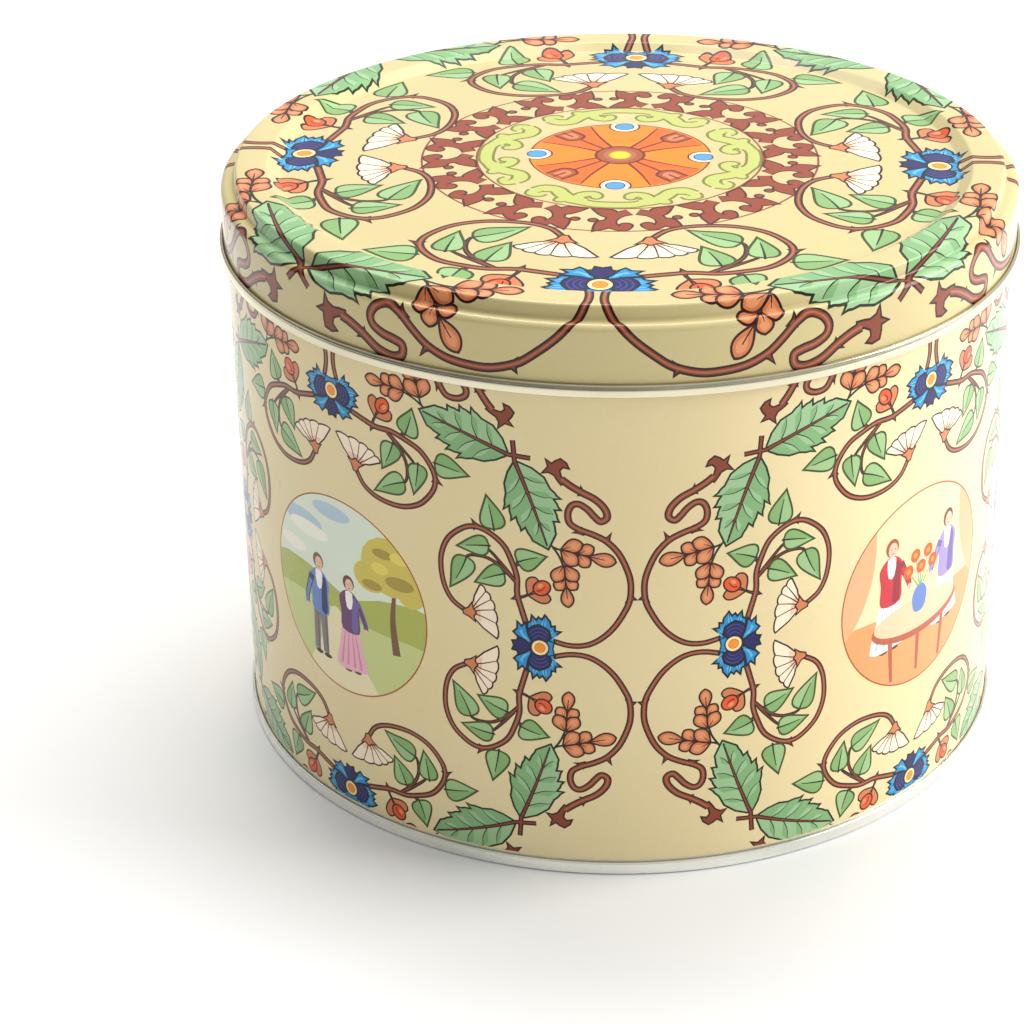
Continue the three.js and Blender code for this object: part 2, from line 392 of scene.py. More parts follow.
def draw_bud(art):
    """A round bud between two sepals."""
    for tip, width in (((0.984, 0.340), 0.056), ((1.050, 0.240), 0.052)):
        art.outlined(petal(tip, (0.950, 0.250), width, 0.62), "oak", "line", 0.85 * LINE)
    art.outlined(ellipse(1.012, 0.291, 0.040, 0.034, 40, 18), "bud", "line", 0.85 * LINE)
    art.stroke(curve([(0.990, 0.276), (1.010, 0.280), (1.026, 0.300)], 4), 0.006, "line", 0.003)
    art.fill(ellipse(1.006, 0.302, 0.014, 0.009, 40, 12), "oak_light")


def draw_fan_blossom(art):
    """A half-open blossom: a scalloped fan with ribs, in a small cup."""
    foot = np.array([0.690, 0.130])
    rim = curve([(0.738, 0.268), (0.780, 0.218), (0.805, 0.138), (0.811, 0.018)], 5)
    valleys = rim[::3]
    outline = [foot + (0.012, 0.026), foot + (0.022, 0.080)]
    for a, b in zip(valleys, valleys[1:]):
        outward = (a + b) / 2 - foot
        outward /= np.linalg.norm(outward)
        outline += [a, 0.8 * a + 0.2 * b + 0.007 * outward, 0.5 * a + 0.5 * b + 0.010 * outward,
                    0.2 * a + 0.8 * b + 0.007 * outward]
    outline += [valleys[-1], foot + (0.060, -0.070), foot + (0.016, -0.026)]
    outline = np.array(outline)
    art.outlined(outline, "blossom", "line", 0.85 * LINE)
    art.fill(foot + 0.42 * (grow(outline, -0.5 * LINE) - foot), "blossom_shade")
    for valley in valleys[1:-1]:
        art.stroke([foot, 0.5 * (foot + valley) + [0, 0.003], valley], 0.0065, "line", 0.004)
    cup = np.array([(0.656, 0.134), (0.682, 0.148), (0.700, 0.176), (0.706, 0.148), (0.720, 0.130),
                    (0.708, 0.110), (0.714, 0.084), (0.688, 0.104), (0.660, 0.114)])
    art.outlined(cup, "oak", "line", 0.8 * LINE)


def draw_flower(art):
    """The blue flower on the tile's axis; each shape is its own mirror image or has one."""
    art.outlined([(0.972, 0.020), (0.948, 0.066), (0.938, 0.118), (0.922, 0.098),
                  (0.902, 0.118), (0.902, 0.084), (0.884, 0.066), (0.904, 0.044),
                  (0.930, 0.016)], "blue", "navy_line")
    art.fill([(0.955, 0.030), (0.927, 0.062), (0.922, 0.084), (0.911, 0.070), (0.930, 0.040)],
             "blue_pale")
    art.outlined([(0.968, 0.0), (0.935, 0.030), (0.906, 0.046), (0.900, 0.026), (0.878, 0.022),
                  (0.886, 0.0), (0.878, -0.022), (0.900, -0.026), (0.906, -0.046),
                  (0.935, -0.030)], "navy", "navy_line")
    art.outlined([(1.030, 0.006), (1.066, 0.030), (1.058, 0.056), (1.092, 0.086),
                  (1.066, 0.088), (1.066, 0.112), (1.050, 0.108), (1.046, 0.132),
                  (1.024, 0.162), (1.010, 0.138), (0.996, 0.150), (0.986, 0.134),
                  (0.966, 0.156), (0.962, 0.126), (0.946, 0.116), (0.948, 0.082),
                  (0.962, 0.030)], "blue", "navy_line")
    for tip, foot in (((1.022, 0.148), (1.016, 0.100)), ((0.971, 0.138), (0.982, 0.096)),
                      ((1.058, 0.098), (1.038, 0.070)), ((1.074, 0.080), (1.046, 0.044))):
        art.fill(petal(foot, tip, 0.020, 0.7, count=6), "blue_pale")
        art.stroke([foot, tip], 0.005, "blue_deep", 0.003)
    art.outlined([(1.034, 0.022), (1.048, 0.056), (1.040, 0.088), (1.018, 0.102), (0.996, 0.112),
                  (0.972, 0.104), (0.952, 0.086), (0.950, 0.058), (0.968, 0.022)],
                 "navy", "navy_line")
    for reach in (0.054, 0.071, 0.088):
        sweep = np.radians(np.linspace(50, 134, 7))
        arc_line = np.column_stack([0.998 + 0.70 * reach * np.cos(sweep), 1.08 * reach * np.sin(sweep)])
        art.stroke(arc_line, 0.0048, "lilac", 0.003)
    art.outlined([(1.034, -0.040), (1.062, -0.030), (1.056, 0.0), (1.062, 0.030),
                  (1.034, 0.040), (1.020, 0.0)], "blue", "navy_line", 0.7 * LINE)
    art.outlined(ellipse(1.0, 0.0, 0.039, None, 0, 32), "cream", "navy_line", 0.7 * LINE)
    art.outlined(ellipse(1.0, 0.0, 0.022, None, 0, 20), "pollen", "oak", 0.5 * LINE)


def ornament():
    """One eighth of the tile, which eightfold() repeats."""
    art = Drawing()
    draw_vines(art)
    draw_fan_blossom(art)
    draw_small_leaf(art, (0.682, 0.394), (0.624, 0.224), 0.104, -0.14)
    draw_small_leaf(art, (0.784, 0.464), (0.636, 0.450), 0.094, 0.08)
    draw_small_leaf(art, (0.850, 0.340), (0.711, 0.295), 0.104, 0.12)
    draw_small_leaf(art, (0.908, 0.404), (1.026, 0.462), 0.110, -0.16)
    draw_small_leaf(art, (0.808, 0.545), (0.786, 0.704), 0.110, 0.06)
    draw_bud(art)
    art.stroke(curve([(1.055, 0.50), (1.085, 0.455), (1.106, 0.402)]), 0.010, "leaf_line")
    art.stroke(curve([(1.062, 0.492), (1.08, 0.484), (1.098, 0.480)]), 0.010, "leaf_line")
    draw_oak_sprig(art, (1.094, 0.482), (1.326, 0.430))
    draw_oak_sprig(art, (1.107, 0.408), (1.124, 0.208), 0.076)
    leaf = dict(base=(0.904, 0.876), tip=(1.062, 0.486), bend=-0.05)
    draw_big_leaf(art, width=0.215, **leaf)
    draw_leaf_stem(art, end=(0.897, 0.972), **leaf)
    draw_flower(art)
    return art


# ---- the lid's centre ---------------------------------------------------------------------------
ROSETTE_RADIUS = 0.285
BAND_CIRCLES = (0.450, 0.622)     # the radii of the two thin circles
BAND_CIRCLE_WIDTH = 0.007
BAND_MOTIFS = 22


def ring_outline(outer_radius, inner_radius, count=72):
    outer = ellipse(0, 0, outer_radius, None, 0, count)
    inner = ellipse(0, 0, inner_radius, None, 0, count)
    return np.vstack([outer, outer[:1], inner[:1], inner[::-1]])


def polar(radius, degrees):
    """The point at a radius and an angle from the centre."""
    angle = math.radians(degrees)
    return (radius * math.cos(angle), radius * math.sin(angle))


def draw_rosette(art):
    """The orange rosette: ray lines, hairpin loops on the diagonals, a dot on each axis."""
    rim = ROSETTE_RADIUS - 0.006
    art.outlined(ellipse(0, 0, ROSETTE_RADIUS, None, 0, 96), "orange", "rust", 0.6 * LINE)
    for quarter in range(4):
        turn = 90 * quarter
        art.fill([polar(0.08, turn + 24)] + [polar(rim, turn + a) for a in (24, 35, 45, 55, 66)]
                 + [polar(0.08, turn + 66)], "orange_deep")
        for side in (23, 67):
            ray = curve([polar(0.076, turn + side), polar(0.17, turn + side + 0.08 * (45 - side)),
                         polar(0.276, turn + side)], 5)
            art.stroke(ray, 0.010, "rust", 0.006)
        x, y = polar(1, turn + 45)
        across = np.array([-y, x]) * 0.036
        axis = np.array([x, y])
        hairpin = np.vstack([[0.276 * axis - across], curve([
            0.235 * axis - across, 0.205 * axis - 0.86 * across, 0.190 * axis,
            0.205 * axis + 0.86 * across, 0.235 * axis + across], 4),
            [0.276 * axis + across]])
        art.fill(hairpin, "umber")
        art.fill(0.235 * axis + 0.6 * (hairpin - 0.235 * axis), "oak")
        art.stroke(hairpin, 0.010, "rust")
        art.stroke([0.078 * axis, 0.190 * axis], 0.009, "rust")
        art.stroke([0.225 * axis, 0.277 * axis], 0.008, "rust")
        dot_x, dot_y = polar(0.262, turn)
        art.outlined(ellipse(dot_x, dot_y, 0.048), "ivory", "rust", 0.7 * LINE)
        art.fill(ellipse(*polar(0.298, turn), 0.020, 0.056, turn), "ground")
        art.outlined(ellipse(dot_x, dot_y, 0.030), "dot_blue", "blue_deep", 0.5 * LINE)
    art.outlined(ellipse(0, 0, 0.076, None, 0, 40), "umber", "rust", LINE)
    art.fill(ellipse(0, 0, 0.052, None, 0, 32), "vine_light")
    art.outlined(ellipse(0, 0, 0.033, None, 0, 24), "yellow", "pollen", 0.6 * LINE)


def draw_scroll_ring(octant):
    """Olive scrolls round the rosette: a bracket on each axis, a leafy S on each diagonal."""
    bracket = curve([(0.420, -0.02), (0.420, 0.02), (0.412, 0.070), (0.382, 0.106),
                     (0.346, 0.098), (0.334, 0.066), (0.352, 0.048)], 5)
    sweep = curve([(0.398, 0.084), (0.378, 0.128), (0.340, 0.156), (0.304, 0.176),
                   (0.292, 0.212), (0.312, 0.242)], 5)
    curl = curve([(0.312, 0.242), (0.336, 0.250), (0.346, 0.228), (0.334, 0.214)], 4)
    parts = [(bracket, 0.046, 0.040), (sweep, 0.056, 0.046), (curl, 0.042, 0.030)]
    knobs = [ellipse(0.352, 0.052, 0.024, 0.020, 0, 14), ellipse(0.378, 0.148, 0.034, 0.022, 60, 14),
             ellipse(0.304, 0.200, 0.028, 0.018, 80, 14)]
    octant.layers(parts, knobs, (LINE, LINE / 2, "olive_line"), (-LINE, -LINE / 2, "olive"))


def draw_band(art):
    """A bold ring of plain leaf scrolls between two thin circles."""
    for radius in BAND_CIRCLES:
        art.fill(ring_outline(radius + BAND_CIRCLE_WIDTH / 2, radius - BAND_CIRCLE_WIDTH / 2, 120),
                 "band")
    for k in range(BAND_MOTIFS):
        x, y = polar(1, 360 * (k + 0.5) / BAND_MOTIFS)
        flip = 1 if k % 2 else -1
        matrix = np.array([[x, -y * flip], [y, x * flip]])
        motif = Drawing()
        stem = curve([(0.474, -0.056), (0.498, -0.022), (0.542, -0.002), (0.586, -0.014),
                      (0.602, -0.044), (0.580, -0.058)], 4)
        leaves = [petal((0.496, -0.020), (0.470, 0.064), 0.062, 0.6, 0.2),
                  petal((0.548, -0.006), (0.614, 0.060), 0.062, 0.6, -0.2),
                  ellipse(0.578, -0.050, 0.021, 0.021, 0, 14),
                  ellipse(0.540, 0.050, 0.014, 0.014, 0, 12)]
        motif.layers([(stem, 0.048, 0.034)], leaves, (0.0, 0.4 * LINE, "band_line"),
                     (-1.3 * LINE, -0.4 * LINE, "band"))
        art.place(motif, matrix)


def lid_artwork():
    """The lid's print, laid flat round its centre."""
    art = Drawing()
    ring = Drawing()
    draw_scroll_ring(ring)
    art.place(eightfold(ring), np.eye(2))
    draw_rosette(art)
    draw_band(art)
    art.place(eightfold(ornament()), np.eye(2))
    return art


# ---- the medallions' pictures: two plain scenes of the script's own, in a circle of radius 1 -----
def blobs(art, ink, *ellipses):
    """Ellipses in one ink, each given as ellipse()'s first values."""
    for values in ellipses:
        art.fill(ellipse(*values, count=16), ink)


def draw_figure(art, x, y, h, coat, shade, lower, pleat, hair, skirt=True, hand=(0.2, 0.5)):
    """A small figure with a plain oval head, its feet at (x, y) and its hand held out."""
    def at(*spots):
        return [(x + u * h, y + v * h) for u, v in spots]

    if skirt:
        art.fill(ellipse(x - 0.05 * h, y, 0.05 * h, 0.02 * h, 0, 8), "hair")
        art.fill(ellipse(x + 0.07 * h, y + 0.01 * h, 0.05 * h, 0.02 * h, 0, 8), "hair")
        art.fill(curve(at((-0.20, 0.03), (-0.07, 0.0), (0.08, 0.02), (0.21, 0.05), (0.15, 0.24),
                          (0.09, 0.48), (-0.09, 0.48), (-0.15, 0.24)), 2, True), lower)
        for u in (-0.13, -0.05, 0.04, 0.12):
            art.stroke(at((u, 0.05), (0.5 * u, 0.42)), 0.032 * h, pleat, 0.010 * h)
    else:
        for u in (-0.065, 0.055):
            art.stroke(at((u, 0.03), (0.9 * u, 0.24), (0.7 * u, 0.46)), 0.075 * h, lower, 0.10 * h)
            art.stroke(at((u + 0.02, 0.05), (0.9 * u + 0.02, 0.40)), 0.018 * h, pleat)
            art.fill(ellipse(x + (u + 0.02) * h, y + 0.01 * h, 0.055 * h, 0.022 * h, 0, 8), "coat")
    art.fill(curve(at((-0.10, 0.42), (0.11, 0.42), (0.12, 0.60), (0.13, 0.74), (0.05, 0.83),
                      (-0.05, 0.83), (-0.13, 0.74), (-0.11, 0.60)), 3, True), coat)
    art.fill(curve(at((0.02, 0.44), (0.10, 0.44), (0.10, 0.62), (0.10, 0.74), (0.05, 0.78)),
                   2, True), shade)
    art.fill(curve(at((-0.03, 0.66), (0.03, 0.66), (0.045, 0.82), (-0.045, 0.82)), 2, True),
             "linen")
    u, v = hand
    side = 1 if u > 0 else -1
    arm = curve(at((0.10 * side, 0.75), (0.5 * u + 0.09 * side, 0.5 * v + 0.32), (u, v)), 4)
    art.stroke(arm, 0.075 * h, shade, 0.05 * h)
    art.stroke(arm[1:-1], 0.045 * h, coat, 0.03 * h)
    art.fill(ellipse(x + u * h, y + v * h, 0.028 * h, None, 0, 10), "skin")
    art.fill(ellipse(x, y + 0.915 * h, 0.072 * h, 0.080 * h, 0, 16), hair)
    art.fill(ellipse(x + 0.008 * h, y + 0.895 * h, 0.050 * h, 0.066 * h, 0, 14), "skin")
    for u in (-0.012, 0.028):
        art.fill(ellipse(x + u * h, y + 0.902 * h, 0.006 * h, 0.005 * h, 0, 8), "hair")
    art.stroke(at((-0.006, 0.866), (0.008, 0.863), (0.022, 0.866)), 0.007 * h, "red_deep")


def park_scene():
    """Two people on a path between hills, beside a round tree."""
    art = Drawing()
    art.fill(ellipse(0, 0, 1.05, None, 0, 64), "sky")
    blobs(art, "haze", (-0.55, 0.62, 0.32, 0.10), (-0.10, 0.84, 0.26, 0.08))
    blobs(art, "cloud", (-0.45, 0.54, 0.30, 0.08), (-0.72, 0.30, 0.22, 0.07))
    art.fill(curve([(-1.1, 0.00), (-0.5, 0.16), (0.1, 0.02), (0.6, 0.14), (1.1, 0.02),
                    (1.1, -1.1), (-1.1, -1.1)], 4, True), "grass")
    art.fill(curve([(-1.1, -0.28), (-0.3, -0.16), (0.4, -0.22), (1.1, -0.34), (1.1, -1.1),
                    (-1.1, -1.1)], 4, True), "meadow")
    art.fill(curve([(-0.16, -0.18), (-0.02, -0.18), (0.14, -0.50), (0.46, -1.1), (-0.56, -1.1),
                    (-0.28, -0.50)], 4, True), "path")
    art.stroke(curve([(0.66, -0.40), (0.63, -0.06), (0.66, 0.26)], 4), 0.09, "trunk", 0.04)
    blobs(art, "gold_leaf", (0.62, 0.50, 0.34, 0.30), (0.38, 0.34, 0.20, 0.16),
          (0.84, 0.30, 0.16, 0.16))
    blobs(art, "gold_shade", (0.72, 0.36, 0.16, 0.07), (0.40, 0.26, 0.12, 0.05),
          (0.54, 0.62, 0.12, 0.05))
    blobs(art, "gold_bright", (0.50, 0.46, 0.10, 0.06), (0.74, 0.62, 0.12, 0.06))
    draw_figure(art, -0.32, -0.74, 1.08, "azure", "navy", "grey", "trunk", "trunk",
                skirt=False, hand=(-0.18, 0.42))
    draw_figure(art, 0.10, -0.76, 1.02, "plum", "violet", "rose", "pink", "hair",
                hand=(0.20, 0.48))
    return art


def table_scene():
    """Two people behind a round table with a vase of flowers, between curtains."""
    art = Drawing()
    art.fill(ellipse(0, 0, 1.05, None, 0, 64), "wash")
    art.fill(curve([(-1.1, -0.24), (0.0, -0.20), (1.1, -0.24), (1.1, -1.1), (-1.1, -1.1)],
                   4, True), "terracotta")
    for side in (-1, 1):
        art.fill(curve([(side * 1.05, 1.0), (side * 0.68, 0.95), (side * 0.64, 0.40),
                        (side * 0.82, -0.10), (side * 1.05, -0.20)], 4, True), "blush")
    draw_figure(art, -0.42, -0.54, 1.18, "red", "red_deep", "linen", "haze", "umber",
                hand=(0.22, 0.50))
    draw_figure(art, 0.42, -0.54, 1.18, "lavender", "violet", "linen", "mist", "hair",
                hand=(-0.22, 0.50))
    for x in (-0.40, 0.0, 0.40):
        art.stroke([(x, -0.40), (0.9 * x, -0.90)], 0.060, "table", 0.040)
    art.fill(ellipse(0.0, -0.32, 0.64, 0.20, 0, 40), "table")
    art.fill(ellipse(0.0, -0.28, 0.61, 0.17, 0, 40), "cloth")
    for x, y in ((-0.18, 0.20), (0.18, 0.20), (-0.09, 0.34), (0.10, 0.33), (0.0, 0.20)):
        art.stroke([(0.0, -0.04), (x, y)], 0.018, "leaf_shade")
        art.fill(ellipse(x, y, 0.070, None, 0, 14), "bud")
        art.fill(ellipse(x, y, 0.030, None, 0, 10), "pollen")
    art.fill(curve([(-0.07, -0.26), (0.07, -0.26), (0.11, -0.10), (0.05, 0.00), (-0.05, 0.00),
                    (-0.11, -0.10)], 3, True), "azure")
    return art


MEDALLION_RADIUS = 0.478
MEDALLION_MARGIN = 0.075          # plain ground laid over what runs past the picture's edge


def medallion(scene):
    """A scene cut off by a ring of plain ground, with a thin brown line round it."""
    art = Drawing()
    for outline, ink in scene.shapes:
        reach = np.linalg.norm(outline, axis=1, keepdims=True)
        held = outline * np.minimum(1, 1.04 / np.maximum(reach, 1e-9))
        art.fill(MEDALLION_RADIUS * held, ink)
    art.fill(ring_outline(MEDALLION_RADIUS + MEDALLION_MARGIN, MEDALLION_RADIUS), "ground")
    art.fill(ring_outline(MEDALLION_RADIUS + 0.004, MEDALLION_RADIUS - 0.003), "umber")
    return art


def body_artwork():
    """The wall unrolled: x runs round the wall from the side seam at the back, y is the height."""
    art = Drawing()
    tile = eightfold(ornament())
    pictures = [medallion(park_scene()), medallion(table_scene())]
    pitch = 2 * math.pi * BODY_RADIUS / BODY_TILES
    for k in range(BODY_TILES):
        centre = ((k - BODY_TILES / 2 + 0.5) * pitch, MEDALLION_HEIGHT)
        art.place(pictures[(k + 1) % 2], BODY_UNIT * np.eye(2), centre)
        art.place(tile, BODY_UNIT * np.eye(2), centre)
    return art


# ---- sheets' profiles ---------------------------------------------------------------------------
def arc(centre_r, centre_z, radius, start, end, steps):
    """Points on an arc in the (r, z) plane, from one angle in degrees to another."""
    angles = np.radians(np.linspace(start, end, steps + 1))
    return [(centre_r + radius * math.cos(a), centre_z + radius * math.sin(a)) for a in angles]


RIDGE_MID = TOTAL_HEIGHT - HALF
PANEL_MID = RIDGE_MID - PANEL_DEPTH
SHOULDER_MID = RIDGE_MID - SHOULDER_DROP
SKIRT_MID = BODY_RADIUS + LID_CLEARANCE + HALF
HEM_OUTER_MID = HEM_RADIUS - HALF
HEM_BEND = (HEM_OUTER_MID - SKIRT_MID) / 2
WALL_MID = BODY_RADIUS - HALF
PITCH = SHEET + FOLD_GAP
CURL_CENTRE_R = BODY_RADIUS - CURL_RADIUS
CURL_CENTRE_Z = SHOULDER_MID - HALF - LID_REST_GAP - CURL_RADIUS


def lid_line():
    """The lid's centre line, from the axis out over the ridge and down to the rolled hem."""
    edge = PANEL_RADIUS - 0.8 * MM
    panel = [(share * edge, PANEL_MID + PANEL_CROWN * (1 - share * share))
             for share in np.linspace(0, 1, 24)]
    climb = math.degrees(math.atan2(PANEL_DEPTH, RIDGE_INNER_RADIUS - PANEL_RADIUS))
    hem_low = HEM_BOTTOM + HALF + HEM_BEND
    hem_high = HEM_BOTTOM + HEM_HEIGHT - HEM_BEND
    bulge = 2.1 * MM
    spread_angle = math.degrees(math.asin(0.46 * (hem_high - hem_low) / bulge))
    return (panel
            + arc(edge, PANEL_MID + 1.5 * MM, 1.5 * MM, 270, 270 + climb, 5)[1:]
            + arc(RIDGE_INNER_RADIUS + 0.5 * MM, RIDGE_MID - 1.4 * MM, 1.4 * MM, 90 + climb, 90, 5)
            + [(94 * MM, RIDGE_MID)]
            + arc(RIDGE_OUTER_RADIUS - RIDGE_BEND, RIDGE_MID - RIDGE_BEND, RIDGE_BEND, 90, 15, 7)
            + arc(RIDGE_OUTER_RADIUS + 1.1 * MM, SHOULDER_MID + 0.8 * MM, 0.8 * MM, 195, 270, 6)
            + arc(SKIRT_MID - SHOULDER_BEND, SHOULDER_MID - SHOULDER_BEND, SHOULDER_BEND, 90, 0, 10)
            + [(SKIRT_MID, z) for z in np.linspace(SHOULDER_MID - 5 * MM, hem_low, 4)]
            + arc(SKIRT_MID + HEM_BEND, hem_low, HEM_BEND, 180, 330, 10)[1:]
            + arc(HEM_OUTER_MID - bulge, (hem_low + hem_high) / 2, bulge, -spread_angle,
                  spread_angle, 10)
            + arc(SKIRT_MID + HEM_BEND, hem_high, HEM_BEND, 30, 105, 5)[1:])


def wall_line():
    """The wall's centre line, from the hook in the double seam up to the inward curl."""
    return ([(WALL_MID + 2 * PITCH, BODY_HOOK_TOP)]
            + arc(WALL_MID + PITCH, BODY_HOOK_BEND_Z, PITCH, 0, -180, 8)
            + [(WALL_MID, PRINT_BOTTOM), (WALL_MID, CURL_CENTRE_Z)]
            + arc(CURL_CENTRE_R, CURL_CENTRE_Z, CURL_RADIUS - HALF, 0, 300, 20)[1:])


def bottom_line():
    """The bottom end's centre line, from the axis to the tucked edge of the double seam."""
    sink_bend = 0.8 * MM
    bend = 0.25 * MM
    chuck_mid = WALL_MID - PITCH
    seaming_mid = SEAM_RADIUS - HALF
    sink_z = COUNTERSINK_TOP - HALF - sink_bend
    sink_r = chuck_mid - sink_bend
    panel_bend = sink_z - BOTTOM_PANEL_HEIGHT
    inner = BOTTOM_PANEL_HEIGHT + BOTTOM_STEP_RISE
    step = [(BOTTOM_STEP_RADIUS + MM * x, inner - BOTTOM_STEP_RISE * (0.5 + 0.5 * math.sin(
        math.pi / 2 * x / 1.2))) for x in np.linspace(-1.2, 1.2, 9)]
    return ([(share * (BOTTOM_STEP_RADIUS - 2 * MM), inner) for share in np.linspace(0, 1, 8)]
            + step
            + arc(sink_r - sink_bend - panel_bend, sink_z, panel_bend, 270, 360, 6)
            + arc(sink_r, sink_z, sink_bend, 180, 0, 10)[1:]
            + arc(chuck_mid + bend, HALF + bend, bend, 180, 270, 4)
            + arc(seaming_mid - bend, HALF + bend, bend, 270, 360, 4)
            + arc(WALL_MID + 2 * PITCH, SEAM_HEIGHT - HALF - PITCH, PITCH, 0, 180, 8)
            + [(WALL_MID + PITCH, BODY_HOOK_BEND_Z + HALF + 0.1 * MM)])


def faces_of(line):
    """Both faces of a sheet, left and right of its centre line, each as (r, z) points."""
    line = np.array(line, float)
    side = side_normals(line) * HALF
    left, right = line + side, line - side
    on_axis = np.abs(line[:, 0]) < 1e-9
    left[on_axis, 0] = 0
    right[on_axis, 0] = 0
    return left, right


def profile_normals(points):
    """Unit normals on the left of a profile, from the lines that meet at each point."""
    n = side_normals(points)
    n = n / np.linalg.norm(n, axis=1, keepdims=True)
    on_axis = np.abs(points[:, 0]) < 1e-9
    n[on_axis] = np.column_stack([0 * n[on_axis, 0], np.sign(n[on_axis, 1])])
    return n


# ---- meshes -------------------------------------------------------------------------------------
def ring_angles(columns):
    """Where a ring's vertices are, from the side seam at the back and round to it again."""
    return np.linspace(-math.pi, math.pi, columns, endpoint=False) - math.pi / 2


class SheetMesh:
    """Vertices with their normals, and faces with their material's number."""

    def __init__(self):
        self.points, self.normals, self.faces, self.slots = [], [], [], []

    def add_vertices(self, points, normals):
        first = len(self.points)
        self.points.extend(map(tuple, points))
        self.normals.extend(map(tuple, normals))
        return np.arange(first, first + len(points))

    def add_ring(self, r, z, normal, columns=COLUMNS):
        """A ring of vertices, or the one vertex on the axis."""
        if r < 1e-9:
            return self.add_vertices([(0, 0, z)], [(0, 0, normal[1])])
        a = ring_angles(columns)
        ring = np.column_stack([r * np.cos(a), r * np.sin(a), np.full(columns, z)])
        facing = np.column_stack([normal[0] * np.cos(a), normal[0] * np.sin(a),
                                  np.full(columns, normal[1])])
        return self.add_vertices(ring, facing)

    def join(self, one, two, slot):
        """Faces between two rings; the profile runs from one to two with its face on the left."""
        count = max(len(one), len(two))
        for i in range(count):
            j = (i + 1) % count
            if len(two) == 1:
                face = (one[i], two[0], one[j])
            elif len(one) == 1:
                face = (one[0], two[i], two[j])
            else:
                face = (one[i], two[i], two[j], one[j])
            self.faces.append(tuple(int(v) for v in face))
            self.slots.append(slot)

    def turn(self, profile, slot, first=None, last=None):
        """Turns a profile about the axis. first and last are rings that are there already."""
        profile = np.array(profile, float)
        normals = profile_normals(profile)
        given = {0: first, len(profile) - 1: last}
        rings = []
        for i, ((r, z), normal) in enumerate(zip(profile, normals)):
            ring = given.get(i)
            rings.append(self.add_ring(r, z, normal) if ring is None else ring)
        for one, two in zip(rings, rings[1:]):
            self.join(one, two, slot)
        return rings

    def build(self, name, materials, body, slot_name, *nodes, flat_shaded=False):
        used = sorted({v for face in self.faces for v in face})
        place = {v: k for k, v in enumerate(used)}
        mesh = bpy.data.meshes.new(name)
        mesh.from_pydata([self.points[v] for v in used], [],
                         [tuple(place[v] for v in face) for face in self.faces])
        for material in materials:
            mesh.materials.append(material)
        mesh.polygons.foreach_set("material_index", np.array(self.slots, np.int32))
        mesh.polygons.foreach_set("use_smooth", np.full(len(mesh.polygons), not flat_shaded))
        mesh.update()
        if not flat_shaded:
            mesh.normals_split_custom_set_from_vertices([self.normals[v] for v in used])
        piece = bpy.data.objects.new(name, mesh)
        bpy.context.scene.collection.objects.link(piece)
        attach(piece, body)
        if nodes:
            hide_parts(*nodes)
        return piece


def winding(outline, points):
    """How many times an outline runs round each point."""
    a, b = outline, np.roll(outline, -1, 0)
    x, y = points[:, 0][:, None], points[:, 1][:, None]
    side = (b[:, 0] - a[:, 0]) * (y - a[:, 1]) - (x - a[:, 0]) * (b[:, 1] - a[:, 1])
    up = (a[:, 1] <= y) & (b[:, 1] > y) & (side > 0)
    down = (a[:, 1] > y) & (b[:, 1] <= y) & (side < 0)
    return up.sum(1) - down.sum(1)


def print_sheet(drawing, loops, loose, ink_numbers):
    """Triangulates a flat region along a drawing's outlines.

    loops are the closed lines that the mesh must follow, loose the points that only keep its
    triangles small. Returns the vertices, the triangles and each triangle's ink number.
    """
    points, edges = [], []
    for outline in loops + [outline for outline, _ in drawing.shapes]:
        first = len(points)
        count = len(outline)
        points.extend(Vector(p) for p in outline)
        edges.extend((first + i, first + (i + 1) % count) for i in range(count))
    points.extend(Vector(p) for p in loose)
    flat, _, triangles, *_ = delaunay_2d_cdt(points, edges, [], 0, 1e-6, False)
    flat = np.array([tuple(p) for p in flat])
    triangles = np.array([t for t in triangles if len(t) == 3])
    a, b, c = (flat[triangles[:, i]] for i in range(3))
    area = (b[:, 0] - a[:, 0]) * (c[:, 1] - a[:, 1]) - (c[:, 0] - a[:, 0]) * (b[:, 1] - a[:, 1])
    triangles[area < 0] = triangles[area < 0][:, ::-1]
    centres = (a + b + c) / 3
    order = np.argsort(centres[:, 0])
    sorted_x = centres[order, 0]
    inks = np.zeros(len(triangles), int)
    for outline, ink in drawing.shapes:
        (x0, y0), (x1, y1) = outline.min(0), outline.max(0)
        near = order[np.searchsorted(sorted_x, x0):np.searchsorted(sorted_x, x1)]
        near = near[(centres[near, 1] >= y0) & (centres[near, 1] <= y1)]
        if len(near):
            inside = near[winding(outline, centres[near]) != 0]
            inks[inside] = ink_numbers[ink]
    return flat, triangles, inks


# ---- materials ----------------------------------------------------------------------------------
def linear(rgb):
    """sRGB 0 to 255 as a linear colour."""
    out = []
    for value in rgb:
        share = value / 255
        out.append(share / 12.92 if share <= 0.04045 else ((share + 0.055) / 1.055) ** 2.4)
    return (*out, 1.0)


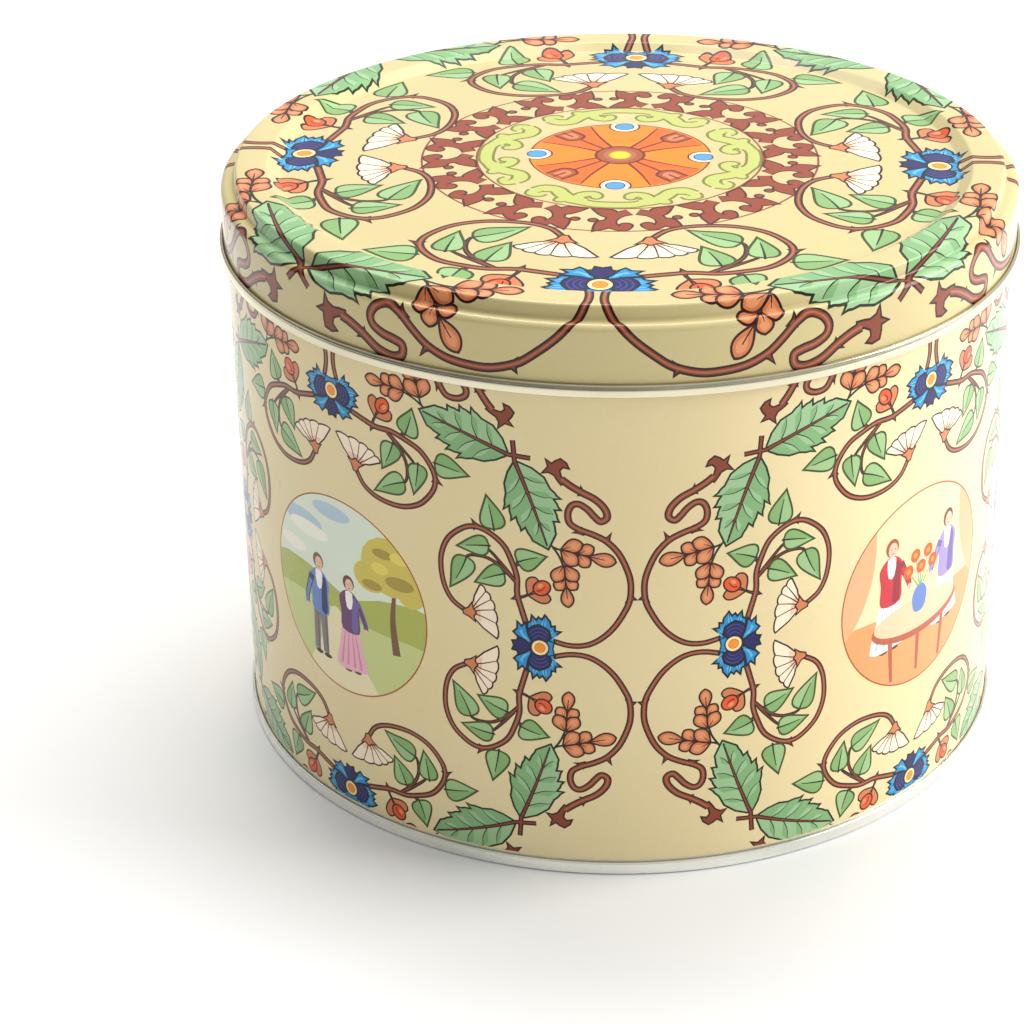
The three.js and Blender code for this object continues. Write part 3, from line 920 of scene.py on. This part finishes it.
class Surface:
    """A material with one Principled shader, and short ways to drive its inputs."""

    def __init__(self, name):
        self.material = bpy.data.materials.new(name)
        self.material.use_nodes = True
        self.nodes, self.links = self.material.node_tree.nodes, self.material.node_tree.links
        self.nodes.clear()
        output = self.nodes.new("ShaderNodeOutputMaterial")
        self.shader = self.nodes.new("ShaderNodeBsdfPrincipled")
        self.links.new(self.shader.outputs["BSDF"], output.inputs["Surface"])
        self.where = self.nodes.new("ShaderNodeTexCoord").outputs["Object"]

    def feed(self, node, values):
        """Gives a node's inputs fixed values, or links them to other nodes' outputs."""
        for name, value in values.items():
            if isinstance(value, bpy.types.NodeSocket):
                self.links.new(value, node.inputs[name])
            else:
                node.inputs[name].default_value = value
        return node

    def noise(self, scale, detail=2.0, stretch=None):
        where = self.where
        if stretch is not None:
            mapping = self.nodes.new("ShaderNodeMapping")
            where = self.feed(mapping, {"Vector": where, "Scale": stretch}).outputs["Vector"]
        node = self.nodes.new("ShaderNodeTexNoise")
        self.feed(node, {"Vector": where, "Scale": scale, "Detail": detail})
        return node.outputs["Fac"]

    def spread(self, value, low, high):
        """A noise's middle range spread over low to high."""
        node = self.nodes.new("ShaderNodeMapRange")
        self.feed(node, {"Value": value, "From Min": 0.3, "From Max": 0.7,
                         "To Min": low, "To Max": high})
        return node.outputs["Result"]

    def mix(self, factor, one, two, blend="MIX"):
        node = self.nodes.new("ShaderNodeMix")
        node.data_type = "RGBA"
        node.blend_type = blend
        return self.feed(node, {"Factor": factor, "A": one, "B": two}).outputs["Result"]

    def bump(self, height, distance, strength=1.0):
        node = self.nodes.new("ShaderNodeBump")
        self.feed(node, {"Distance": distance, "Strength": strength, "Height": height})
        self.feed(self.shader, {"Normal": node.outputs["Normal"]})

    def varnish(self):
        """Glossy clear varnish over print: a coat, faint handling marks, a slight orange peel."""
        marks = self.noise(60, 4.0)
        self.feed(self.shader, {
            "IOR": 1.5, "Specular IOR Level": 0.15, "Coat Weight": 0.45, "Coat Roughness": 0.06,
            "Coat IOR": 1.45, "Roughness": self.spread(marks, 0.26, 0.36)})
        self.bump(self.noise(420, 1.0), 0.012 * MM, 0.5)


def ink_material(name, rgb):
    surface = Surface("ink_" + name)
    surface.feed(surface.shader, {"Base Color": linear(rgb)})
    surface.varnish()
    return surface.material


def ground_material(name, rgb, aged):
    """The plain cream ground: slow mottling from age and the fine grain of the printing plate."""
    surface = Surface(name)
    surface.varnish()
    age = surface.spread(surface.noise(16, 0.0), 0.0, 0.8)
    shade = surface.spread(surface.noise(2600, 1.0), 0.90, 1.0)
    grain = surface.nodes.new("ShaderNodeCombineColor")
    surface.feed(grain, {"Red": shade, "Green": shade, "Blue": shade})
    ground = surface.mix(age, linear(rgb), linear(aged))
    printed = surface.mix(0.35, ground, grain.outputs["Color"], "MULTIPLY")
    surface.feed(surface.shader, {"Base Color": printed})
    return surface.material


def tinplate_material(name, rgb, smooth, rough, stretch=(1, 1, 1)):
    """Bare tinplate: bright metal with faint scratches and a few dull patches."""
    surface = Surface(name)
    lines = surface.noise(240, 2.0, stretch)
    patches = surface.spread(surface.noise(28, 3.0), 0.0, 1.0)
    dull = linear([0.93 * value for value in rgb])
    surface.feed(surface.shader, {
        "Metallic": 1.0, "Base Color": surface.mix(patches, linear(rgb), dull),
        "Roughness": surface.spread(lines, smooth, rough)})
    surface.bump(lines, 0.006 * MM, 0.4)
    return surface.material


def compound_material():
    """Grey sealing rubber, matt and a little grainy."""
    surface = Surface("sealing_rubber")
    grain = surface.noise(900, 3.0)
    grey = surface.mix(grain, linear((168, 160, 142)), linear((140, 132, 116)))
    surface.feed(surface.shader, {"Base Color": grey,
                                  "Roughness": surface.spread(grain, 0.6, 0.8)})
    surface.bump(grain, 0.05 * MM)
    return surface.material


INK_NUMBERS = {"ground": 0}
for ink_name in INKS:
    INK_NUMBERS[ink_name] = len(INK_NUMBERS)
ink_materials = [ink_material(name, rgb) for name, rgb in INKS.items()]
hem_tin = tinplate_material("hem_tinplate", (222, 215, 188), 0.10, 0.22)
inner_tin = tinplate_material("inner_tinplate", (224, 222, 212), 0.22, 0.36)
TIN = len(INK_NUMBERS)


# ---- lid ----------------------------------------------------------------------------------------
def lid_mesh():
    """The lid: its printed face runs from the axis down the skirt; the rest is bare tinplate."""
    line = lid_line()
    top, under = faces_of(line)
    steps = np.linalg.norm(np.diff(top, axis=0), axis=1)
    reach = np.concatenate([[0], np.cumsum(steps)])
    last = max(i for i, (r, _) in enumerate(line) if abs(r - SKIRT_MID) < 1e-6)
    end = reach[last]
    print_end = end - 0.4 * MM
    top_normals = profile_normals(top)

    def circle(s, columns=COLUMNS):
        a = ring_angles(columns)
        return np.column_stack([s * np.cos(a), s * np.sin(a)])

    art = Drawing()
    c, s = math.cos(LID_TURN), math.sin(LID_TURN)
    for outline, ink in lid_artwork().shapes:
        flat = outline @ np.array([[c, s], [-s, c]]) * LID_UNIT
        size = np.linalg.norm(flat, axis=1, keepdims=True)
        art.fill(flat * np.minimum(1, print_end / np.maximum(size, 1e-9)), ink)
    edge = next(i for i, (r, _) in enumerate(line) if r >= PANEL_RADIUS - 0.9 * MM)
    rings = [circle(s) for s in reach[edge:last + 1]]
    loose = [(0, 0)]
    for s in np.arange(4 * MM, reach[edge] - 2 * MM, 4 * MM):
        loose.extend(circle(s, max(8, round(2 * math.pi * s / (4.5 * MM)))))
    for s in np.linspace(reach[last - 3], end, 5)[1:-1]:
        loose.extend(circle(s))
    flat, triangles, inks = print_sheet(art, rings, loose, INK_NUMBERS)
    s = np.minimum(np.linalg.norm(flat, axis=1), end)
    angle = np.arctan2(flat[:, 1], flat[:, 0])
    r, z = np.interp(s, reach, top[:, 0]), np.interp(s, reach, top[:, 1])
    out = np.interp(s, reach, top_normals[:, 0])
    up = np.interp(s, reach, top_normals[:, 1])
    sheet = SheetMesh()
    index = sheet.add_vertices(
        np.column_stack([r * np.cos(angle), r * np.sin(angle), z]),
        np.column_stack([out * np.cos(angle), out * np.sin(angle), up]))
    sheet.faces.extend(tuple(int(v) for v in t) for t in triangles)
    sheet.slots.extend(int(i) for i in inks)
    border = index[s > end - 1e-7]
    border = border[np.argsort(np.mod(angle[border] + 1.5 * math.pi + 1e-6, 2 * math.pi))]
    tail = np.vstack([top[last:], under[::-1]])
    sheet.turn(tail, TIN, first=border)
    return sheet


# The lid's ground is the body's cream made darker: painted shade, standing in for the shade that falls
# on the lid's skirt; the lights above are set brighter to bring the lid's top back up.
lid_ground_painted_shade = ground_material("lid_ground_painted_shade", (213, 198, 144), (208, 192, 135))
lid_mesh().build("lid_sheet", [lid_ground_painted_shade] + ink_materials + [hem_tin], "lid", "lid_print", "lid")


# ---- body wall ----------------------------------------------------------------------------------
SEAM_GROOVE_WIDTH = 0.35 * MM
SEAM_GROOVE_DEPTH = 0.10 * MM
WALL_ROWS = 30                    # rows of vertices up the printed wall


def wall_mesh():
    """The wall: print outside, with a shallow groove by the side seam; bare tinplate elsewhere."""
    line = wall_line()
    inner, outer = faces_of(line)   # the line runs up the wall: its left is the tin's inside
    low = next(i for i, (r, z) in enumerate(line) if z >= PRINT_BOTTOM - 1e-9 and i > 3)
    high = low + 1
    z0, z1 = line[low][1], line[high][1]
    half_turn = math.pi * BODY_RADIUS
    groove = -half_turn + LOCK_SEAM_WIDTH / 2
    art = Drawing()
    for outline, ink in body_artwork().shapes:
        held = outline.copy()
        held[:, 0] = np.clip(held[:, 0], 0.05 * MM - half_turn, half_turn - 0.05 * MM)
        held[:, 1] = np.clip(held[:, 1], z0 + 0.3 * MM, z1 - 0.5 * MM)
        if np.ptp(held[:, 1]) > 1e-6:
            art.fill(held, ink)
    columns = np.linspace(-half_turn, half_turn, COLUMNS + 1)
    rows = np.linspace(z0, z1, WALL_ROWS)
    upright = np.full(WALL_ROWS - 2, half_turn)
    border = np.vstack([
        np.column_stack([columns, np.full(COLUMNS + 1, z0)]),
        np.column_stack([upright, rows[1:-1]]),
        np.column_stack([columns[::-1], np.full(COLUMNS + 1, z1)]),
        np.column_stack([-upright, rows[-2:0:-1]])])
    grooves = []
    for x in (groove - SEAM_GROOVE_WIDTH, groove, groove + SEAM_GROOVE_WIDTH):
        up = np.column_stack([np.full(len(rows) - 2, x), rows[1:-1]])
        grooves.append(np.vstack([up, up[::-1]]))
    loose = [(x, z) for z in rows[1:-1] for x in columns[1:-1]
             if abs(x - groove) > 2 * SEAM_GROOVE_WIDTH]
    flat, triangles, inks = print_sheet(art, [border] + grooves, loose, INK_NUMBERS)
    angle = flat[:, 0] / BODY_RADIUS - math.pi / 2
    away = np.abs(flat[:, 0] - groove)
    dip = SEAM_GROOVE_DEPTH * np.maximum(0, 1 - away / SEAM_GROOVE_WIDTH)
    dip[(flat[:, 1] < z0 + MM) | (flat[:, 1] > z1 - MM)] = 0
    lean = np.where(np.isclose(away, SEAM_GROOVE_WIDTH), 0.5, 0)
    lean = lean * SEAM_GROOVE_DEPTH / SEAM_GROOVE_WIDTH * np.sign(groove - flat[:, 0])
    r = BODY_RADIUS - dip
    sheet = SheetMesh()
    index = sheet.add_vertices(
        np.column_stack([r * np.cos(angle), r * np.sin(angle), flat[:, 1]]),
        np.column_stack([np.cos(angle) - lean * np.sin(angle),
                         np.sin(angle) + lean * np.cos(angle), np.zeros(len(flat))]))
    # The two upright borders are one line on the real wall.
    left = index[np.isclose(flat[:, 0], -half_turn, atol=1e-7)]
    right = index[np.isclose(flat[:, 0], half_turn, atol=1e-7)]
    left, right = (side[np.argsort(flat[side, 1])] for side in (left, right))
    same = np.arange(len(flat))
    same[right] = left
    sheet.faces.extend(tuple(int(v) for v in same[t]) for t in triangles)
    sheet.slots.extend(int(i) for i in inks)

    def border_ring(height):
        ring = index[np.isclose(flat[:, 1], height, atol=1e-7)]
        ring = ring[np.argsort(flat[ring, 0])]
        return ring[:-1]

    loop = np.vstack([outer[:low + 1][::-1], inner, outer[high:][::-1]])
    sheet.turn(loop, TIN, first=border_ring(z0), last=border_ring(z1))
    return sheet


body_ground = ground_material("body_ground", (238, 220, 171), (234, 214, 162))
wall_mesh().build("wall_sheet", [body_ground] + ink_materials + [inner_tin], "tin_body",
                  "body_print", "body_wall")


# ---- bottom end, seam compound, lock seam -------------------------------------------------------
def bottom_mesh():
    """The bottom end: both faces of one sheet, closed at its tucked edge."""
    top, under = faces_of(bottom_line())
    sheet = SheetMesh()
    sheet.turn(np.vstack([top, under[::-1]]), 0)
    return sheet


def compound_mesh():
    """The ring of sealing compound in the double seam, with rounded corners."""
    low, high = SHEET + FOLD_GAP, BODY_HOOK_BEND_Z - PITCH - HALF - FOLD_GAP
    inner, outer = WALL_MID - 0.03 * MM, WALL_MID + 2 * PITCH + 0.03 * MM
    corner = 0.08 * MM
    loop = (arc(outer - corner, high - corner, corner, 0, 90, 4)
            + arc(inner + corner, high - corner, corner, 90, 180, 4)
            + arc(inner + corner, low + corner, corner, 180, 270, 4)
            + arc(outer - corner, low + corner, corner, 270, 360, 4))
    sheet = SheetMesh()
    rings = sheet.turn(loop[::-1], 0)
    sheet.join(rings[-1], rings[0], 0)
    return sheet


def fold_mesh():
    """The lock seam: the wall's edges folded together, inside at the back."""
    outer, inner = BODY_RADIUS - SHEET - 0.02 * MM, BODY_RADIUS - SHEET * (1 + LOCK_SEAM_LAYERS)
    half = LOCK_SEAM_WIDTH / 2 / BODY_RADIUS
    corner = 0.25 * MM / BODY_RADIUS
    section = [(outer, -half), (outer, half)]
    section += [(inner + 0.25 * MM, half), (inner + 0.07 * MM, half - 0.3 * corner),
                (inner, half - corner)]
    section += [(inner, a) for a in np.linspace(half - corner, -half + corner, 9)[1:-1]]
    section += [(inner, -half + corner), (inner + 0.07 * MM, -half + 0.3 * corner),
                (inner + 0.25 * MM, -half)]
    low, high = LOCK_SEAM_BOTTOM, CURL_CENTRE_Z - LOCK_SEAM_TOP_MARGIN
    sheet = SheetMesh()
    rings = []
    for z in np.linspace(low, high, 12):
        points = [(r * math.sin(a), r * math.cos(a), z) for r, a in section]
        rings.append(sheet.add_vertices(points, [(0, 0, 1)] * len(points)))
    for one, two in zip(rings, rings[1:]):
        sheet.join(one, two, 0)
    for ring, step in ((rings[0], 1), (rings[-1], -1)):
        sheet.faces.append(tuple(int(v) for v in ring[::step]))
        sheet.slots.append(0)
    return sheet


bottom_mesh().build("bottom_sheet", [tinplate_material(
    "bottom_tinplate", (246, 246, 238), 0.22, 0.38, (0.03, 1, 1))], "tin_body", "tinplate",
    "bottom_end")
fold_mesh().build("lock_seam_fold", [inner_tin], "tin_body", "tinplate", flat_shaded=True)
compound_mesh().build("sealing_ring", [compound_material()], "tin_body", "seam_compound",
                      "seam_compound")


# ---- camera -------------------------------------------------------------------------------------
CAMERA_LENS = 98.4                # in mm, for a 36 mm sensor
CAMERA_SHIFT = (-0.1055, -0.0410)
CAMERA_DISTANCE = 0.67705         # from the tin's axis
CAMERA_HEIGHT = 0.40403
CAMERA_TILT = 63.11               # in degrees, 90 being level
CAMERA_BEARING = 2.345            # in degrees, towards the tin's left


def make_camera():
    data = bpy.data.cameras.new("camera")
    data.sensor_width = 36
    data.lens = CAMERA_LENS
    data.shift_x, data.shift_y = CAMERA_SHIFT
    camera = bpy.data.objects.new("camera", data)
    bpy.context.scene.collection.objects.link(camera)
    bearing = math.radians(CAMERA_BEARING)
    camera.location = (-math.sin(bearing) * CAMERA_DISTANCE,
                       -math.cos(bearing) * CAMERA_DISTANCE, CAMERA_HEIGHT)
    camera.rotation_euler = (math.radians(CAMERA_TILT), 0, -bearing)
    bpy.context.scene.camera = camera


make_camera()


# ---- floor and light ----------------------------------------------------------------------------
FLOOR_REACH = 3.0
FLOOR_GAP = 0.2 * MM              # keeps the floor clear of the rim that stands on it


def make_floor():
    mesh = bpy.data.meshes.new("floor")
    mesh.from_pydata([(x * FLOOR_REACH, y * FLOOR_REACH, 0)
                      for x, y in ((-1, -1), (1, -1), (1, 1), (-1, 1))], [], [(0, 1, 2, 3)])
    paper = Surface("floor_paper")
    paper.feed(paper.shader, {"Base Color": (0.92, 0.92, 0.91, 1), "Roughness": 0.7})
    mesh.materials.append(paper.material)
    floor = bpy.data.objects.new("floor", mesh)
    floor.location.z = -FLOOR_GAP
    bpy.context.scene.collection.objects.link(floor)


def soft_box(name, position, target, size, power):
    light = bpy.data.lights.new(name, "AREA")
    light.shape = "RECTANGLE"
    light.size, light.size_y = size
    light.energy = power
    box = bpy.data.objects.new(name, light)
    box.location = position
    box.rotation_euler = (Vector(target) - Vector(position)).to_track_quat("-Z", "Y").to_euler()
    bpy.context.scene.collection.objects.link(box)


def make_light():
    """A dim room, brighter above and to the right, with soft boxes right, above and behind."""
    world = bpy.data.worlds.new("studio")
    world.use_nodes = True
    nodes, links = world.node_tree.nodes, world.node_tree.links
    background = nodes["Background"]
    where = nodes.new("ShaderNodeTexCoord")
    dot = nodes.new("ShaderNodeVectorMath")
    dot.operation = "DOT_PRODUCT"
    dot.inputs[1].default_value = (0.62, 0.30, 0.72)
    links.new(where.outputs["Generated"], dot.inputs[0])
    ramp = nodes.new("ShaderNodeMapRange")
    ramp.inputs["From Min"].default_value = -0.7
    ramp.inputs["From Max"].default_value = 0.9
    ramp.inputs["To Min"].default_value = 0.09
    ramp.inputs["To Max"].default_value = 0.83
    links.new(dot.outputs["Value"], ramp.inputs["Value"])
    links.new(ramp.outputs["Result"], background.inputs["Strength"])
    background.inputs["Color"].default_value = (1, 1, 1, 1)
    bpy.context.scene.world = world
    soft_box("key", (1.10, -0.05, 0.65), (0, 0, 0.08), (0.7, 0.7), 13.2)
    soft_box("top", (0.05, 0.50, 1.20), (0, 0.1, 0.1), (0.9, 0.6), 8.9)
    soft_box("back", (-0.4, 0.9, 1.6), (-0.2, 0.4, 0), (0.9, 0.7), 6.6)


make_floor()
make_light()
bpy.context.scene.view_settings.view_transform = "Standard"
